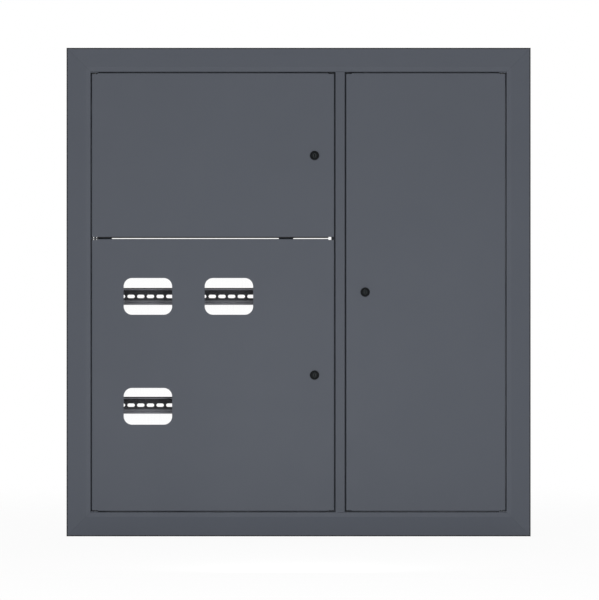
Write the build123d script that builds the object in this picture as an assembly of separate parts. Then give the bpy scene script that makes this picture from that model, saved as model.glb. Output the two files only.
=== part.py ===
from build123d import *
import os

# Floor distribution board for a landing of a block of flats: a steel casing that is
# built into the wall, a surround that covers the edge of the hole, two doors on the
# left for the breakers and the meters, and one tall door on the right for the
# low-current wiring. The casing has no back. Millimetres, X right, Z up, the front
# faces -Y. The origin is the centre of the board on the plane of the wall.

# Board
board_width = 950.0
board_height = 1000.0
casing_depth = 128.0
sheet = 1.2
bend_radius = 2.0
door_gap = 2.0

# Surround
surround_border = 50.0
surround_rise = 12.0
edge_height = 4.0
slope_width = 40.0
seat_lip = 10.0
jamb_depth = 20.0

# Mullion and the wall behind it
right_opening = 330.0
mullion_width = 20.0
mullion_lip = 8.0
partition_flange = 30.0

# Casing
rear_flange = 30.0
casing_overlap = 14.0
anchor_spacing_x = 740.0
anchor_inset_z = 16.4
anchor_hole = 10.0
knockout_diameter = 40.0
knockout_depth = 0.6
knockout_places = (-320.0, -110.0, 255.0)

# Doors
door_split = 109.7
door_flange = 18.0
corner_notch = 12.0
stiffener_width = 40.0
stiffener_crown = 14.0
stiffener_depth = 10.0
stiffener_margin = 12.0
right_stiffener_setback = 153.0

# Hinges
hinge_inset = 7.0
hinge_setback = 5.5
pin_diameter = 5.0
pin_clearance = 0.05
pin_reach = 12.0
eye_thickness = 3.0
eye_width = 12.0
eye_inset = 7.0
hinge_plate = 1.5
hinge_plate_width = 15.0
hinge_plate_play = 0.1
bracket_nose = 3.6
bracket_foot = 28.0
bracket_foot_drop = 20.0
bracket_foot_start = 12.0

# Windows
window_width = 99.0
window_height = 75.0
window_corner = 17.0
window_column_1 = 0.2316
window_column_2 = 0.5657
window_row_1 = 117.5
window_row_2 = 342.3
pane_lap = 9.0
pane_thickness = 2.0
guide_thickness = 1.0
guide_foot = 9.0
guide_clearance = 0.1
guide_cover = 8.0

# Locks
left_lock_setback = 40.3
right_lock_setback = 39.2
lock_head = 19.0
lock_head_height = 2.0
lock_body = 16.0
lock_flats = 14.0
lock_hole_clearance = 0.1
lock_nut_flats = 22.0
lock_nut_height = 4.0
plug_diameter = 11.5
plug_clearance = 0.05
keyway_width = 2.0
keyway_height = 8.0
keyway_depth = 8.0
plug_square = 7.6
cam_thickness = 3.0
cam_reach = 41.0
cam_width = 17.0
cam_lip_clearance = 0.6
cam_clamp = 0.3
cam_square_clearance = 0.05
cam_housing_clearance = 0.5
cam_screw = 4.0
cam_screw_depth = 8.0
cam_screw_flats = 7.0
cam_screw_head_height = 2.8

# Mounting frame inside
frame_setback = 87.5
upright_width = 30.0
left_upright_inset = 23.0
right_upright_setback = 101.0
middle_upright_spacing = 169.0
middle_upright_width = 50.0
upright_lip = 8.0
upright_end_gap = 1.0
crossbar_level = 75.0
crossbar_height = 30.0
crossbar_flange = 12.0

# Top-hat rails
rail_height = 35.0
rail_recess = 25.0
rail_depth = 7.5
rail_thickness = 1.0
rail_inner_bend = 0.8
rail_gap = 2.0
rail_overhang = 4.0
slot_length = 15.0
slot_height = 7.0
slot_pitch = 20.0
slot_clip = 2.0
slot_end_margin = 4.0
slot_offset_1 = -16.3
slot_offset_2 = 12.8
upper_rail_level_1 = 355.0
upper_rail_level_2 = 205.0
screw_diameter = 5.0
screw_length = 12.0
screw_head_flats = 8.0
screw_head_height = 3.0

# Strips in the right-hand compartment
strip_spacing = 290.0
strip_height = 40.0
strip_setback = 112.0
strip_tab = 20.0
strip_thickness = 1.5
strip_slot_pitch = 40.0

# Earthing
earth_stud_diameter = 8.0
earth_stud_length = 24.0
earth_stud_setback = 145.0
earth_stud_y = 60.0
earth_nut_flats = 13.0
earth_nut_height = 6.5
door_stud_diameter = 6.0
door_stud_length = 14.0
door_stud_inset_x = 30.0
door_stud_inset_z = 30.0

# Places worked out from the sizes above
inner_bend = bend_radius - sheet
front_y = -surround_rise
skin_y = front_y + sheet
jamb_y = front_y + jamb_depth
opening_left = -board_width / 2 + surround_border
opening_right = board_width / 2 - surround_border
opening_top = board_height / 2 - surround_border
mullion_right = opening_right - right_opening
mullion_left = mullion_right - mullion_width
lip_front = jamb_y - sheet
casing_x = opening_right + sheet
casing_z = opening_top + sheet
rear_y = casing_depth
rear_seat_y = rear_y - sheet
door_left = opening_left + door_gap
door_right = mullion_left - door_gap
door_top = opening_top - door_gap
split_top = door_split + door_gap / 2
split_bottom = door_split - door_gap / 2
left_hinge_x = door_left + hinge_inset
right_hinge_x = opening_right - door_gap - hinge_inset
hinge_y = front_y + hinge_setback
door_back = front_y + door_flange
left_upright_x = opening_left + left_upright_inset
middle_upright_x = left_upright_x + middle_upright_spacing
right_upright_x = mullion_left - right_upright_setback
rail_left = left_upright_x - upright_width / 2 - rail_overhang
rail_right = right_upright_x + upright_width / 2 + rail_overhang
earth_stud_x = mullion_left - earth_stud_setback

# The columns of windows keep their share of the door's width, the rows their distance
# from its top.
door_width = door_right - door_left
window_1 = (door_left + window_column_1 * door_width, split_bottom - window_row_1)
window_2 = (door_left + window_column_2 * door_width, split_bottom - window_row_1)
window_3 = (door_left + window_column_1 * door_width, split_bottom - window_row_2)
all_windows = (window_1, window_2, window_3)


def block(x, y, z):
    """Box between the low and high values given for each axis."""
    centre = Pos(sum(x) / 2, sum(y) / 2, sum(z) / 2)
    return centre * Box(x[1] - x[0], y[1] - y[0], z[1] - z[0])


def rod_y(x, z, y_low, y_high, radius):
    rod = Cylinder(radius, y_high - y_low, align=(Align.CENTER, Align.CENTER, Align.MIN))
    return Pos(x, y_low, z) * Rot(-90, 0, 0) * rod


def rod_z(x, y, z_low, z_high, radius):
    rod = Cylinder(radius, z_high - z_low, align=(Align.CENTER, Align.CENTER, Align.MIN))
    return Pos(x, y, z_low) * rod


def front_prism(outline, y_low, y_high):
    """Prism along Y of an outline drawn as seen from the front."""
    front = Plane(origin=(0, y_low, 0), x_dir=(1, 0, 0), z_dir=(0, -1, 0))
    return extrude(front * outline, amount=y_high - y_low, dir=(0, 1, 0))


def hexagon_y(x, z, y_low, y_high, flats):
    outline = Pos(x, z) * RegularPolygon(flats / 2, 6, major_radius=False)
    return front_prism(outline, y_low, y_high)


def sheet_section(points, side, radius=bend_radius, thickness=sheet):
    """Section of a folded sheet: one skin follows the points, the other lies beside it."""
    skin = FilletPolyline(*points, radius=radius)
    return make_face(offset(skin, amount=thickness, side=side))


def along_z(section, z_low, z_high):
    return extrude(Pos(0, 0, z_low) * section, amount=z_high - z_low)


def along_x(section, x_low, x_high):
    """Extrusion along X of a section drawn with Y across and Z up."""
    side_view = Plane(origin=(x_low, 0, 0), x_dir=(0, 1, 0), z_dir=(1, 0, 0))
    return extrude(side_view * section, amount=x_high - x_low)


# Surround: one section, drawn inwards from the outer edge, is swept round the board
# with mitred corners: thin edge, slope, land, jamb. The lip that seats on the wall is
# welded up into one flat ring.
def surround():
    section = sheet_section(
        [
            (2 * bend_radius, 0),
            (0, 0),
            (0, -edge_height),
            (slope_width, front_y),
            (surround_border, front_y),
            (surround_border, jamb_y),
        ],
        Side.LEFT,
    )
    half_width = board_width / 2
    half_height = board_height / 2
    start = Plane(origin=(0, 0, -half_height), x_dir=(0, 0, 1), z_dir=(-1, 0, 0))
    path = Polyline(
        (0, 0, -half_height),
        (half_width, 0, -half_height),
        (half_width, 0, half_height),
        (-half_width, 0, half_height),
        (-half_width, 0, -half_height),
        (0, 0, -half_height),
    )
    border = sweep(start * section, path=path, transition=Transition.RIGHT)
    lip = Rectangle(board_width - 2 * bend_radius, board_height - 2 * bend_radius)
    lip -= Rectangle(board_width - 2 * seat_lip, board_height - 2 * seat_lip)
    return border + front_prism(lip, -sheet, 0)


# Mullion: a hat section between the two openings. Its lips stop the doors, and the
# cams of the locks turn behind them.
def mullion():
    section = sheet_section(
        [
            (mullion_left - mullion_lip, lip_front),
            (mullion_left, lip_front),
            (mullion_left, front_y),
            (mullion_right, front_y),
            (mullion_right, lip_front),
            (mullion_right + mullion_lip, lip_front),
        ],
        Side.LEFT,
        [inner_bend, bend_radius, bend_radius, inner_bend],
    )
    return along_z(section, -opening_top, opening_top)


def knockout(x, outer, side):
    """Half-sheared blank, pressed inwards, that is knocked out for a cable."""
    levels = sorted((outer, outer - side * knockout_depth))
    return rod_z(x, (jamb_y + rear_y) / 2, levels[0], levels[1], knockout_diameter / 2)


def casing_side_wall(side):
    inner = side * casing_x
    outer = side * (casing_x + sheet)
    height = casing_z + sheet
    front = jamb_y - casing_overlap
    return block(sorted((inner, outer)), (front, rear_y), (-height, height))


def casing_level_wall(side):
    """Top wall for side 1, bottom wall for side -1, with the rear flange and anchor holes."""
    outer = side * (casing_z + sheet)
    front = jamb_y - casing_overlap
    bend_side = Side.RIGHT if side > 0 else Side.LEFT
    section = sheet_section(
        [(front, outer), (rear_y, outer), (rear_y, outer - side * rear_flange)],
        bend_side,
    )
    wall = along_x(section, -casing_x, casing_x)
    anchor_level = outer - side * anchor_inset_z
    for x in (-anchor_spacing_x / 2, anchor_spacing_x / 2):
        wall -= rod_y(x, anchor_level, rear_seat_y - sheet, rear_y + sheet, anchor_hole / 2)
    for x in knockout_places:
        wall -= knockout(x, outer, side)
    return wall


def casing_bottom_wall():
    """Bottom wall with the welded earth stud of the board."""
    stud_top = -casing_z + earth_stud_length
    stud = rod_z(earth_stud_x, earth_stud_y, -casing_z, stud_top, earth_stud_diameter / 2)
    return casing_level_wall(-1) + stud


def casing_earth_nut():
    outline = RegularPolygon(earth_nut_flats / 2, 6, major_radius=False)
    outline -= Circle(earth_stud_diameter / 2)
    return Pos(earth_stud_x, earth_stud_y, -casing_z) * extrude(outline, amount=earth_nut_height)


# Wall between the two compartments. Its front edge is welded into the mullion, and behind
# it is turned against the rear flanges of the casing.
partition_x = (mullion_left + mullion_right) / 2 - sheet / 2


def partition_wall():
    section = sheet_section(
        [
            (partition_x, skin_y),
            (partition_x, rear_seat_y),
            (partition_x + partition_flange, rear_seat_y),
        ],
        Side.RIGHT,
    )
    return along_z(section, -opening_top, opening_top)


# Mounting frame: lipped channels that are welded to the rear flanges of the casing, with
# a crossbar across their front webs. The rails are screwed to the webs.
def upright(centre, width, z_low, z_high, screw_places):
    left = centre - width / 2
    right = centre + width / 2
    section = sheet_section(
        [
            (left + upright_lip, rear_seat_y),
            (left, rear_seat_y),
            (left, frame_setback),
            (right, frame_setback),
            (right, rear_seat_y),
            (right - upright_lip, rear_seat_y),
        ],
        Side.LEFT,
    )
    channel = along_z(section, z_low, z_high)
    for x, z in screw_places:
        if left < x < right and z_low < z < z_high:
            channel -= rod_y(x, z, frame_setback - sheet, frame_setback + 2 * sheet, screw_diameter / 2)
    return channel


def meter_crossbar():
    """Channel across the meter compartment that ends the middle upright."""
    low = crossbar_level - crossbar_height / 2
    high = crossbar_level + crossbar_height / 2
    nose = frame_setback - crossbar_flange
    section = sheet_section(
        [(nose, low), (frame_setback, low), (frame_setback, high), (nose, high)],
        Side.LEFT,
    )
    return along_x(section, rail_left, rail_right)


def slot_centres(x_low, x_high, phase, pitch=slot_pitch):
    """Slot centres of a rail: a fixed pitch through the phase, clear of both ends."""
    end = slot_length / 2 + slot_end_margin
    count_low = -int((phase - x_low - end) // pitch)
    count_high = int((x_high - end - phase) // pitch)
    return [phase + pitch * k for k in range(count_low, count_high + 1)]


def slots(centres, level):
    """Row of slots with clipped corners."""
    row = Sketch()
    for x in centres:
        row += Pos(x, level) * chamfer(Rectangle(slot_length, slot_height).vertices(), slot_clip)
    return row


def top_hat_rail(x_low, x_high, level, phase):
    """Slotted 35 mm top-hat rail, its web against the front webs of the uprights."""
    lip_y = frame_setback - rail_depth
    web_y = frame_setback - rail_thickness
    half_recess = rail_recess / 2
    half_height = rail_height / 2
    outer_bend = rail_inner_bend + rail_thickness
    section = sheet_section(
        [
            (lip_y, level - half_height),
            (lip_y, level - half_recess),
            (web_y, level - half_recess),
            (web_y, level + half_recess),
            (lip_y, level + half_recess),
            (lip_y, level + half_height),
        ],
        Side.RIGHT,
        [outer_bend, rail_inner_bend, rail_inner_bend, outer_bend],
        rail_thickness,
    )
    rail = along_x(section, x_low, x_high)
    row = slots(slot_centres(x_low, x_high, phase), level)
    return rail - front_prism(row, web_y - rail_thickness, frame_setback + rail_thickness)


# Each rail is its left end, right end, level and slot phase.
middle_x = (rail_left + rail_right) / 2
meter_end_left = middle_upright_x - rail_gap / 2
meter_end_right = middle_upright_x + rail_gap / 2
slot_phase_1 = middle_upright_x + slot_offset_1
slot_phase_2 = middle_upright_x + slot_offset_2
rails = {
    "upper_rail_1": (rail_left, rail_right, upper_rail_level_1, middle_x),
    "upper_rail_2": (rail_left, rail_right, upper_rail_level_2, middle_x),
    "meter_rail_1": (rail_left, meter_end_left, window_1[1], slot_phase_1),
    "meter_rail_2": (meter_end_right, rail_right, window_2[1], slot_phase_2),
    "meter_rail_3": (rail_left, meter_end_left, window_3[1], slot_phase_1),
}


def rail_screw_places():
    """The slot of each rail that lies nearest the middle of its seat on each upright."""
    places = []
    for x_low, x_high, level, phase in rails.values():
        uprights = [(left_upright_x, upright_width), (right_upright_x, upright_width)]
        if level < crossbar_level:
            uprights.append((middle_upright_x, middle_upright_width))
        for centre, width in uprights:
            low = max(centre - width / 2, x_low)
            high = min(centre + width / 2, x_high)
            if high - low > screw_head_flats:
                centres = slot_centres(x_low, x_high, phase)
                nearest = min(centres, key=lambda x: abs(x - (low + high) / 2))
                places.append((nearest, level))
    return places


def rail_screw(x, z):
    """Hexagon screw driven from the front, its head over a slot of the rail."""
    seat = frame_setback - rail_thickness
    head = hexagon_y(x, z, seat - screw_head_height, seat, screw_head_flats)
    return head + rod_y(x, z, seat, seat + screw_length, screw_diameter / 2)


def low_current_strip(level):
    """Slotted strip with its ends folded forward against the partition and the casing."""
    left = partition_x + sheet
    section = sheet_section(
        [
            (left, strip_setback - strip_tab),
            (left, strip_setback),
            (casing_x, strip_setback),
            (casing_x, strip_setback - strip_tab),
        ],
        Side.RIGHT,
        bend_radius,
        strip_thickness,
    )
    strip = along_z(section, level - strip_height / 2, level + strip_height / 2)
    row = slots(slot_centres(left, casing_x, (left + casing_x) / 2, strip_slot_pitch), level)
    return strip - front_prism(row, strip_setback - 2 * strip_thickness, strip_setback + strip_thickness)


# Doors: pans folded from one sheet. The upright flanges run the whole height, and the
# level ones stop short of the corners, where the hinge pins pass.
def door_pan(left, right, bottom, top):
    skin_low = bottom + bend_radius
    skin_high = top - bend_radius
    upright_section = sheet_section(
        [(left, door_back), (left, front_y), (right, front_y), (right, door_back)],
        Side.LEFT,
    )
    top_section = sheet_section(
        [(door_back, top), (front_y, top), (front_y, skin_high - bend_radius)],
        Side.LEFT,
    )
    bottom_section = sheet_section(
        [(door_back, bottom), (front_y, bottom), (front_y, skin_low + bend_radius)],
        Side.RIGHT,
    )
    pan = along_z(upright_section, skin_low, skin_high)
    pan += along_x(top_section, left + corner_notch, right - corner_notch)
    pan += along_x(bottom_section, left + corner_notch, right - corner_notch)
    return pan


def lock_cutout(x, z):
    """Hole with two flats, which keeps the lock from turning."""
    flats = lock_flats + 2 * lock_hole_clearance
    hole = Circle(lock_body / 2 + lock_hole_clearance) & Rectangle(flats, lock_body * 2)
    return front_prism(Pos(x, z) * hole, front_y - sheet, skin_y + sheet)


def door_earth_stud(x, z):
    return rod_y(x, z, skin_y, skin_y + door_stud_length, door_stud_diameter / 2)


def upper_door_panel():
    pan = door_pan(door_left, door_right, split_top, door_top)
    pan -= lock_cutout(*upper_lock_place)
    return pan + door_earth_stud(door_left + door_stud_inset_x, split_top + door_stud_inset_z)


def lower_door_panel():
    """Lower door with three windows."""
    pan = door_pan(door_left, door_right, -door_top, split_bottom)
    pan -= lock_cutout(*lower_lock_place)
    outline = RectangleRounded(window_width, window_height, window_corner)
    for x, z in all_windows:
        pan -= front_prism(Pos(x, z) * outline, front_y - sheet, skin_y + sheet)
    return pan + door_earth_stud(door_left + door_stud_inset_x, -door_top + door_stud_inset_z)


def right_door_panel():
    right = opening_right - door_gap
    pan = door_pan(mullion_right + door_gap, right, -door_top, door_top)
    pan -= lock_cutout(*right_lock_place)
    return pan + door_earth_stud(right - door_stud_inset_x, -door_top + door_stud_inset_z)


def stiffener(x, z_low, z_high):
    """Hat channel welded to the inside of a door skin."""
    foot = stiffener_width / 2
    crown = stiffener_crown / 2
    back = skin_y + stiffener_depth
    section = sheet_section(
        [
            (x - foot, skin_y + sheet),
            (x - crown, skin_y + sheet),
            (x - crown, back),
            (x + crown, back),
            (x + crown, skin_y + sheet),
            (x + foot, skin_y + sheet),
        ],
        Side.RIGHT,
        [inner_bend, bend_radius, bend_radius, inner_bend],
    )
    return along_z(section, z_low + stiffener_margin, z_high - stiffener_margin)


# Windows: each pane is slid behind its cut-out between two joggled guides.
def window_pane(centre):
    width = window_width + 2 * pane_lap
    height = window_height + 2 * pane_lap
    outline = Pos(centre[0], centre[1]) * Rectangle(width, height)
    return front_prism(outline, skin_y, skin_y + pane_thickness)


def window_guide(centre, side):
    """Guide above the pane for side 1, below it for side -1."""
    x, z = centre
    edge = z + side * (window_height / 2 + pane_lap + guide_clearance)
    lip_y = skin_y + pane_thickness + guide_clearance
    section = sheet_section(
        [
            (lip_y, edge - side * guide_cover),
            (lip_y, edge),
            (skin_y, edge),
            (skin_y, edge + side * guide_foot),
        ],
        Side.RIGHT if side > 0 else Side.LEFT,
        0,
        guide_thickness,
    )
    reach = window_width / 2 + pane_lap
    return along_x(section, x - reach, x + reach)


def window_guides(centre):
    return [window_guide(centre, 1), window_guide(centre, -1)]


# Locks: the housing is clamped to the door by a nut, the plug turns in it, and the cam
# is screwed to the square on the end of the plug.
upper_lock_place = (door_right - left_lock_setback, (split_top + door_top) / 2)
lower_lock_place = (door_right - left_lock_setback, (split_bottom - door_top) / 2)
right_lock_place = (mullion_right + door_gap + right_lock_setback, 0.0)
cam_y = jamb_y + cam_lip_clearance


def lock_housing(x, z):
    bore = plug_diameter / 2 + plug_clearance
    face_y = front_y - lock_head_height
    head = rod_y(x, z, face_y, front_y, lock_head / 2)
    head = chamfer(head.edges().sort_by(Axis.Y)[0], lock_head_height / 4)
    barrel = front_prism(
        Pos(x, z) * (Circle(lock_body / 2) & Rectangle(lock_flats, lock_body * 2)),
        front_y,
        cam_y - cam_housing_clearance,
    )
    body = head + barrel
    return body - rod_y(x, z, face_y, cam_y, bore)


def lock_nut(x, z):
    top = skin_y + lock_nut_height
    nut = hexagon_y(x, z, skin_y, top, lock_nut_flats)
    return nut - rod_y(x, z, skin_y, top, lock_body / 2)


def lock_plug(x, z):
    face_y = front_y - lock_head_height
    barrel = rod_y(x, z, face_y, cam_y, plug_diameter / 2)
    square_end = cam_y + cam_thickness - cam_clamp
    square = front_prism(Pos(x, z) * Rectangle(plug_square, plug_square), cam_y, square_end)
    keyway = front_prism(
        Pos(x, z) * Rectangle(keyway_width, keyway_height), face_y, face_y + keyway_depth
    )
    tapped = rod_y(x, z, cam_y + cam_thickness - cam_screw_depth, square_end, cam_screw / 2)
    return barrel + square - keyway - tapped


def lock_cam(x, z):
    """Flat cam that hangs down when the lock is open."""
    length = cam_reach + cam_width / 2
    bar = Pos(0, cam_width / 2 - length / 2) * SlotOverall(length, cam_width, rotation=90)
    side = plug_square + 2 * cam_square_clearance
    outline = bar - Rectangle(side, side)
    return front_prism(Pos(x, z) * outline, cam_y, cam_y + cam_thickness)


def lock_cam_screw(x, z):
    seat = cam_y + cam_thickness
    head = hexagon_y(x, z, seat, seat + cam_screw_head_height, cam_screw_flats)
    return head + rod_y(x, z, seat - cam_screw_depth, seat, cam_screw / 2)


# Hinges: steel pins in plates on the jamb, and eyes welded in the door corners.
def hinge_plate_piece(hinge_x, side, level):
    """Plate on the jamb above or below a hinge, side 1 for the top of the board."""
    jamb = opening_left + hinge_plate_play if hinge_x < 0 else opening_right - hinge_plate_play
    inward = 1 if hinge_x < 0 else -1
    x_range = sorted((jamb, jamb + inward * hinge_plate_width))
    z_range = sorted((level, level - side * hinge_plate))
    return block(x_range, (front_y + bend_radius, jamb_y - bend_radius), z_range)


def hinge_plates():
    pieces = []
    for hinge_x in (left_hinge_x, right_hinge_x):
        for side in (1, -1):
            pieces.append(hinge_plate_piece(hinge_x, side, side * opening_top))
    return pieces


def middle_hinge_bracket():
    """Folded bracket on the casing whose nose lies in the gap between the left doors."""
    half = sheet / 2
    nose_x = left_hinge_x + bracket_nose
    foot_y = jamb_y + bracket_foot_start
    section = sheet_section(
        [
            (-casing_x, door_split - bracket_foot_drop),
            (-casing_x, door_split + half),
            (nose_x, door_split + half),
        ],
        Side.RIGHT,
    )
    front_view = Plane(origin=(0, foot_y + bracket_foot, 0), x_dir=(1, 0, 0), z_dir=(0, -1, 0))
    fold = extrude(front_view * section, amount=bracket_foot)
    arm_left = opening_left + hinge_plate_play
    arm = block(
        (arm_left, nose_x), (hinge_y, foot_y), (door_split - half, door_split + half)
    )
    nose = rod_z(left_hinge_x, hinge_y, door_split - half, door_split + half, bracket_nose)
    heel = block(
        (arm_left, left_hinge_x), (hinge_y - bracket_nose, hinge_y), (door_split - half, door_split + half)
    )
    bracket = fold + arm + nose + heel
    return bracket - rod_z(left_hinge_x, hinge_y, door_split - sheet, door_split + sheet, pin_diameter / 2)


def hinge_pins():
    """Four pins welded to the jamb plates and a double-ended one in the middle bracket."""
    pieces = []
    for hinge_x in (left_hinge_x, right_hinge_x):
        for side in (1, -1):
            ends = sorted((side * (opening_top - hinge_plate), side * (opening_top - pin_reach)))
            pieces.append(rod_z(hinge_x, hinge_y, ends[0], ends[1], pin_diameter / 2))
    reach = pin_reach - door_gap / 2
    pieces.append(
        rod_z(left_hinge_x, hinge_y, door_split - reach, door_split + reach, pin_diameter / 2)
    )
    return pieces


def hinge_eye(hinge_x, level):
    """Eye plate welded into a door corner, with a running fit on its pin."""
    flange = hinge_x - hinge_inset + sheet if hinge_x < 0 else hinge_x + hinge_inset - sheet
    inward = 1 if hinge_x < 0 else -1
    x_range = sorted((flange, flange + inward * eye_width))
    z_range = (level - eye_thickness / 2, level + eye_thickness / 2)
    eye = block(x_range, (skin_y, skin_y + eye_width), z_range)
    upright_edges = eye.edges().filter_by(Axis.Z)
    at_bend = upright_edges.sort_by_distance((flange, skin_y, level))[0]
    eye = chamfer(at_bend, inner_bend)
    return eye - rod_z(hinge_x, hinge_y, z_range[0], z_range[1], pin_diameter / 2 + pin_clearance)


def hinge_eyes(hinge_x, bottom, top):
    return [hinge_eye(hinge_x, top - eye_inset), hinge_eye(hinge_x, bottom + eye_inset)]


def build_parts():
    parts = {}
    parts["surround"] = surround()
    parts["mullion"] = mullion()
    parts["casing_left_wall"] = casing_side_wall(-1)
    parts["casing_right_wall"] = casing_side_wall(1)
    parts["casing_top_wall"] = casing_level_wall(1)
    parts["casing_bottom_wall"] = casing_bottom_wall()
    parts["casing_earth_nut"] = casing_earth_nut()
    parts["partition_wall"] = partition_wall()

    screw_places = rail_screw_places()
    top = casing_z - upright_end_gap
    crossbar_top = crossbar_level + crossbar_height / 2
    parts["left_upright"] = upright(left_upright_x, upright_width, -top, top, screw_places)
    parts["right_upright"] = upright(right_upright_x, upright_width, -top, top, screw_places)
    parts["middle_upright"] = upright(
        middle_upright_x, middle_upright_width, -top, crossbar_top, screw_places
    )
    parts["meter_crossbar"] = meter_crossbar()
    for name, (x_low, x_high, level, phase) in rails.items():
        parts[name] = top_hat_rail(x_low, x_high, level, phase)
    parts["rail_screws"] = [rail_screw(x, z) for x, z in screw_places]
    for number in (1, 2, 3):
        parts[f"low_current_strip_{number}"] = low_current_strip((number - 2) * strip_spacing)

    parts["hinge_plates"] = hinge_plates()
    parts["middle_hinge_bracket"] = middle_hinge_bracket()
    parts["hinge_pins"] = hinge_pins()
    parts["upper_door_hinge_eyes"] = hinge_eyes(left_hinge_x, split_top, door_top)
    parts["lower_door_hinge_eyes"] = hinge_eyes(left_hinge_x, -door_top, split_bottom)
    parts["right_door_hinge_eyes"] = hinge_eyes(right_hinge_x, -door_top, door_top)

    parts["upper_door_panel"] = upper_door_panel()
    parts["lower_door_panel"] = lower_door_panel()
    parts["right_door_panel"] = right_door_panel()
    guide_end = window_2[0] + window_width / 2 + pane_lap
    nut_start = lower_lock_place[0] - lock_nut_flats / 2
    lower_stiffener_x = (guide_end + nut_start) / 2
    right_stiffener_x = opening_right - door_gap - right_stiffener_setback
    parts["lower_door_stiffener"] = stiffener(lower_stiffener_x, -door_top, split_bottom)
    parts["right_door_stiffener"] = stiffener(right_stiffener_x, -door_top, door_top)
    for number, centre in enumerate(all_windows, start=1):
        parts[f"window_pane_{number}"] = window_pane(centre)
        parts[f"window_guides_{number}"] = window_guides(centre)

    lock_places = {"upper": upper_lock_place, "lower": lower_lock_place, "right": right_lock_place}
    for name, (x, z) in lock_places.items():
        parts[f"{name}_lock_housing"] = lock_housing(x, z)
        parts[f"{name}_lock_nut"] = lock_nut(x, z)
        parts[f"{name}_lock_plug"] = lock_plug(x, z)
        parts[f"{name}_lock_cam"] = lock_cam(x, z)
        parts[f"{name}_lock_cam_screw"] = lock_cam_screw(x, z)
    return parts


def write_parts(parts):
    os.makedirs("parts", exist_ok=True)
    for name, shape in parts.items():
        if isinstance(shape, list):
            shape = Compound(children=[piece.solid() for piece in shape])
        export_step(shape, f"parts/{name}.step")


write_parts(build_parts())
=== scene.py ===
# %% [markdown]
# # A floor distribution board
# The real thing is a steel board that is built into the wall of a landing: a folded
# surround, two doors on the left, one tall door on the right, three glazed windows, and
# slotted rails behind them. The sheet metal comes from the construction model as it is.
# This lesson adds what a maker's eye looks for on top of it: the paint, the turned and
# milled lock parts, the rails with their round-ended slots, and the screws.

# %% Load the construction model
import math

import bmesh
import bpy
from mathutils import Matrix, Vector


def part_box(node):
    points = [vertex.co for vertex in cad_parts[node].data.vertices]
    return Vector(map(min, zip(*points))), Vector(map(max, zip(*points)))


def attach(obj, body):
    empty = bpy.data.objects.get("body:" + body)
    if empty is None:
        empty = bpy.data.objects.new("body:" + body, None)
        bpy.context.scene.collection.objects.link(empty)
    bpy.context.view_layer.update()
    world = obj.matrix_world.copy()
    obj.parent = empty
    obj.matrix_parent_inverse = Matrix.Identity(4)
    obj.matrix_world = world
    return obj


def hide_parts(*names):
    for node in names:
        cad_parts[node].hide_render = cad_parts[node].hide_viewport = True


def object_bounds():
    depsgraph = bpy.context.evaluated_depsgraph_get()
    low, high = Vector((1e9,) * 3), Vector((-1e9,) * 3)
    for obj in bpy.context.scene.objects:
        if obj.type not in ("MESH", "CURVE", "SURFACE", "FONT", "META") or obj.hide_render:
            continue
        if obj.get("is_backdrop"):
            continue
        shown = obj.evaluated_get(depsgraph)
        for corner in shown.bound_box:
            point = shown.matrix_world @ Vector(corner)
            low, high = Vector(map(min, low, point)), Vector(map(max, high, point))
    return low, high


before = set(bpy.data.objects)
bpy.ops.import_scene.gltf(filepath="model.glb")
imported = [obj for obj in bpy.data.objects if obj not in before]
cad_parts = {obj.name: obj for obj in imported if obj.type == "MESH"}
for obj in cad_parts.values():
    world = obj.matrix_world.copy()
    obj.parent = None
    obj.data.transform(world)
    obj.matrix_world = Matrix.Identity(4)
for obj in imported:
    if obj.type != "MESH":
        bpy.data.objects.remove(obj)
cad_low, cad_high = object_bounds()
MM = 0.001
print("construction model", [round(v / MM, 1) for v in cad_high - cad_low], "mm")

# %% [markdown]
# # The camera
# The photograph looks straight at the doors from far away, so that the sides of the
# casing don't show, and the slots of the rails, a hand's width behind the doors, measure
# almost the same as things in front. A long lens at nine metres gives the same view. The
# board sits a little high and to the left in the picture, so the camera stands a little
# low and to the right.

# %% Place the camera
camera_distance = 9.0
camera_right = 1.9 * MM
camera_down = 16.2 * MM
photo_height = 600
mm_per_pixel = 2.0445
camera = bpy.data.objects.new("camera", bpy.data.cameras.new("camera"))
bpy.context.scene.collection.objects.link(camera)
bpy.context.scene.camera = camera
camera.data.sensor_width = 36
camera.data.lens = 36 * camera_distance / (photo_height * mm_per_pixel * MM)
camera.location = (camera_right, cad_low.y - camera_distance, -camera_down)
camera.rotation_euler = (math.radians(90), 0, 0)
print("lens", round(camera.data.lens, 1), "mm")

# %% [markdown]
# # Shader maths as plain sums
# A material is a net of nodes. Written node by node it is hard to read, so a small class
# wraps a socket, and Python's own signs add the Math nodes. Everything else goes through
# one method that takes the node's type, its settings and what goes into its sockets.


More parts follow.
